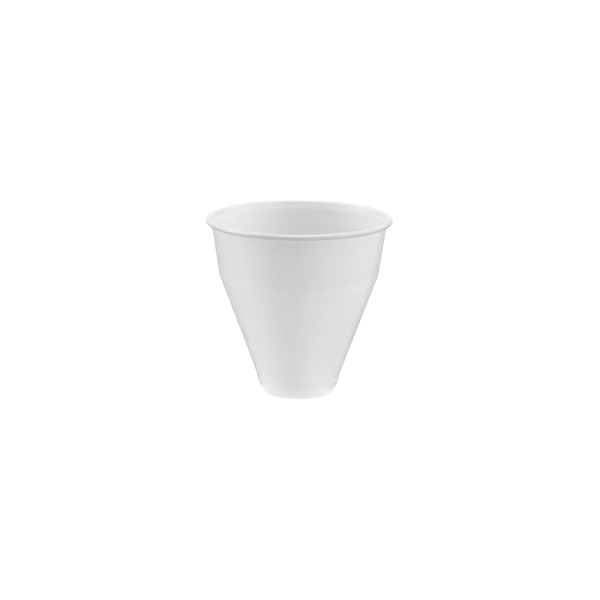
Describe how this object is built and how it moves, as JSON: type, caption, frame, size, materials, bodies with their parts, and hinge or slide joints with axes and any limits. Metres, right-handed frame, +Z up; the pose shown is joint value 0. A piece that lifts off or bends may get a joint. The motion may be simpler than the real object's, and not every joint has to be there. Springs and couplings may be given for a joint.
{
  "type": "plastic insert cup",
  "caption": "Thin plastic insert cup for a reusable holder: rolled rim, steep upper band, tapered body, stacking ring and a small foot.",
  "frame": {"origin": "centre of the ring the cup stands on, at the bottom of the cup", "axes": "+Z up along the cup's axis, out of the mouth; the cup is round, so X and Y are free"},
  "size_m": [0.0824, 0.0824, 0.0796],
  "materials": {
    "plastic": "smooth white film-thin plastic with a soft sheen, slightly translucent"
  },
  "bodies": {
    "root": {"cup": "plastic"}
  },
  "joints": []
}
